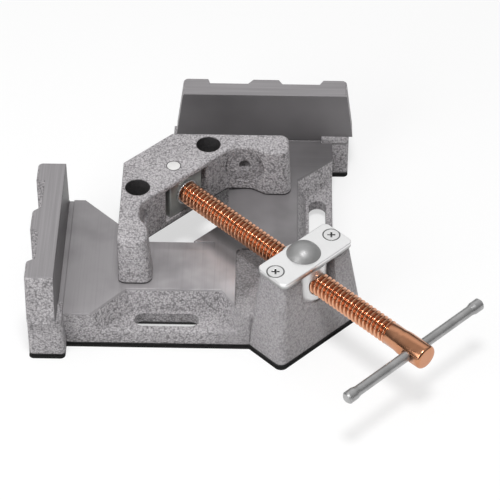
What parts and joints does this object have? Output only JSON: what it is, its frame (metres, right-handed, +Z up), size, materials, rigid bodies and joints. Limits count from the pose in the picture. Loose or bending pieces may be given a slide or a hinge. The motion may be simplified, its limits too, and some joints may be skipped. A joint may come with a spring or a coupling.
{
  "type": "corner clamp",
  "caption": "Cast-iron corner clamp with two fences at right angles, a V-shaped moving jaw on a swivelling screw, and a sliding T-bar handle.",
  "frame": {"origin": "on the bench, under the corner of the work, where the planes of the two fence faces meet", "axes": "+X along the back fence and away from the corner, -Y along the side fence and away from the corner, +Z up from the bench"},
  "size_m": [0.2628, 0.2628, 0.0647],
  "materials": {
    "cast_gray": "rough cast, gray enamel, machined table and fences",
    "jaw_gray": "rough cast, gray enamel, machined faces",
    "nose_steel": "smooth, dull",
    "pin_steel": "bright",
    "copper_plate": "copper-plated steel, bright",
    "washer_steel": "bright",
    "nut_zinc": "zinc-plated steel, satin",
    "plate_zinc": "zinc-plated steel, bright",
    "fastener_zinc": "zinc-plated steel, satin",
    "bar_zinc": "zinc-plated steel, dull"
  },
  "bodies": {
    "base": {"base_casting": "cast_gray", "keeper_plate": "plate_zinc", "plate_screws": "fastener_zinc"},
    "nut": {"swivel_nut": "nut_zinc"},
    "nose": {"nose_block": "nose_steel", "nose_pins": "pin_steel"},
    "screw": {"clamp_screw": "copper_plate", "thrust_washer": "washer_steel"},
    "handle": {"handle_bar": "bar_zinc"},
    "jaw": {"moving_jaw": "jaw_gray", "jaw_pivot_pin": "pin_steel"}
  },
  "joints": [
    {"name": "nut_swivel", "type": "hinge", "parent": "base", "child": "nut", "pos_m": [0.14269, -0.14269, 0.043], "axis": [0, 0, 1], "range_deg": [-3, 3]},
    {"name": "screw_feed", "type": "slide", "parent": "nut", "child": "nose", "axis": [0.7071, -0.7071, 0], "range_m": [-0.0401, 0.084]},
    {"name": "screw_turn", "type": "hinge", "parent": "nose", "child": "screw", "pos_m": [0.14269, -0.14269, 0.043], "axis": [0.7071, -0.7071, 0], "range_deg": [-4812, 10080]},
    {"name": "handle_slide", "type": "slide", "parent": "screw", "child": "handle", "axis": [0.7071, 0.7071, 0], "range_m": [-0.038, 0.038]},
    {"name": "jaw_pivot", "type": "hinge", "parent": "nose", "child": "jaw", "pos_m": [0.06442, -0.06442, 0.043], "axis": [0, 0, 1], "range_deg": [-3, 3]}
  ],
  "couplings": [
    {"joint": "screw_turn", "follows": "screw_feed", "rad_per_m": 2094.4},
    {"joint": "jaw_pivot", "follows": "nut_swivel", "ratio": -1}
  ]
}
